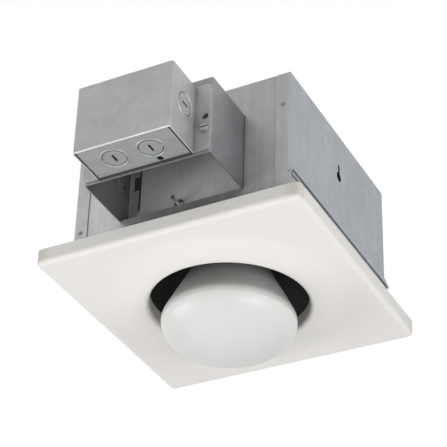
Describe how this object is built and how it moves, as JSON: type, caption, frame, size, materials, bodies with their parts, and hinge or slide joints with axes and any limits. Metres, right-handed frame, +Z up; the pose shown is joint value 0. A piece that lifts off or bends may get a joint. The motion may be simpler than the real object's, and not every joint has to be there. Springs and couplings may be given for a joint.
{
  "type": "recessed ceiling heat lamp",
  "caption": "Recessed bathroom heat lamp: square ceiling grille with a round lipped hole, reflector lamp, galvanised housing, standoff channel and junction box",
  "frame": {"origin": "centre of the square grille on the ceiling plane, where the lamp's axis meets the plane of the grille rim's upper edge", "axes": "+Z up into the ceiling, along the lamp's axis; -Y from the housing towards the junction box; +X towards the housing side with the ledge"},
  "size_m": [0.264, 0.3454, 0.2149],
  "materials": {
    "grille_paint": "semi-gloss warm white",
    "galvanised": "galvanised, dull grey",
    "zinc": "bright zinc",
    "black_paint": "matt black, heat resistant",
    "green_paint": "green",
    "black_plastic": "matt",
    "white_plastic": "matt",
    "green_plastic": "matt",
    "porcelain": "glazed white",
    "brass": "plain",
    "plated_brass": "nickel plated",
    "aluminium": "satin",
    "frosted_glass": "frosted white face, silvered cone",
    "clear_glass": "clear",
    "black_glass": "black insulator",
    "wire": "tungsten wire"
  },
  "bodies": {
    "housing": {"spring_hangers": "zinc", "housing_shell": "galvanised", "side_panel_left": "galvanised", "side_panel_right": "galvanised", "side_skirt_right": "galvanised", "panel_rivets": "zinc", "heat_liner": "black_paint", "liner_screws": "zinc", "wall_stud": "zinc", "wall_nut": "zinc", "standoff_channel": "galvanised", "channel_rivets": "zinc", "junction_box_base": "galvanised", "box_screws": "zinc", "ground_screw": "green_paint", "wire_bush": "black_plastic", "lead_hot": "black_plastic", "lead_neutral": "white_plastic", "lead_link": "black_plastic", "lead_earth": "green_plastic", "socket_bracket": "galvanised", "roof_rivets": "zinc", "lamp_socket": "porcelain", "socket_shell": "brass", "socket_contact": "brass", "socket_terminals": "brass", "socket_screws": "zinc", "thermal_cutout": "aluminium", "cutout_terminals": "brass"},
    "grille_body": {"grille": "grille_paint", "grille_hooks": "zinc", "grille_spring_left": "zinc", "grille_spring_right": "zinc"},
    "box_cover": {"junction_box_cover": "galvanised", "cover_screws": "zinc"},
    "lamp_tip": {"lamp_base_ring": "black_glass", "lamp_contact": "plated_brass"},
    "lamp": {"lamp_glass": "frosted_glass", "lamp_stem": "clear_glass", "lamp_filament": "wire", "lamp_base": "plated_brass"}
  },
  "joints": [
    {"name": "grille_drop", "type": "slide", "parent": "housing", "child": "grille_body", "axis": [0, 0, -1], "range_m": [0, 0.06], "stiffness_N_per_m": 120, "springref_m": -0.07, "deforming": ["grille_spring_left", "grille_spring_right"]},
    {"name": "cover_off", "type": "slide", "parent": "housing", "child": "box_cover", "axis": [0, -1, 0], "range_m": [0, 0.06]},
    {"name": "lamp_out", "type": "slide", "parent": "housing", "child": "lamp_tip", "axis": [0, 0, -1], "range_m": [0, 0.0218]},
    {"name": "lamp_turn", "type": "hinge", "parent": "lamp_tip", "child": "lamp", "pos_m": [0, 0, 0], "axis": [0, 0, 1], "range_deg": [0, 2160]}
  ],
  "couplings": [
    {"joint": "lamp_out", "follows": "lamp_turn", "m_per_rad": 0.00057757}
  ]
}
